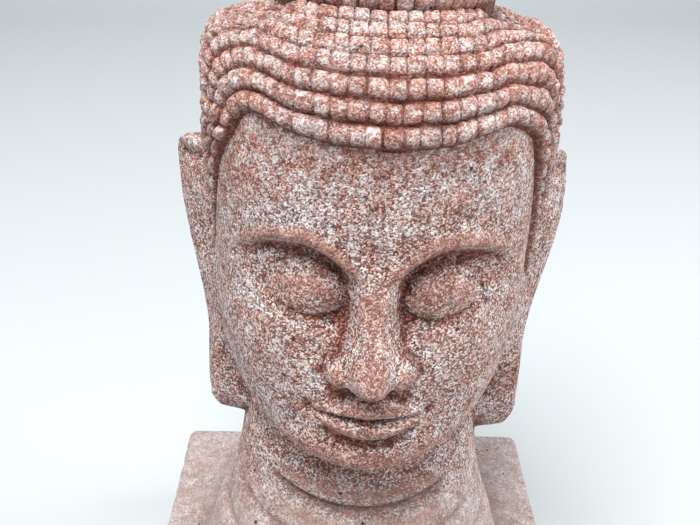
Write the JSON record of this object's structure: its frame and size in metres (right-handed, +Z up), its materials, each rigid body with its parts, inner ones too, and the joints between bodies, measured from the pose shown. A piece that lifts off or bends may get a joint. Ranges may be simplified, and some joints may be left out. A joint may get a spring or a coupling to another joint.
{
  "type": "stone buddha head",
  "caption": "Carved stone buddha head with rows of small curls, long ears, lowered eyes and a domed topknot, on a neck that flares to a square base.",
  "frame": {"origin": "centre of the underside of the square base", "axes": "+Z up through the topknot, the face looks along -Y, +X is on the viewer's right when the face is seen from the front"},
  "size_m": [0.075, 0.08, 0.1498],
  "materials": {
    "sandstone": "matt, finely speckled pink sandstone"
  },
  "bodies": {
    "root": {"buddha_head": "sandstone"}
  },
  "joints": []
}
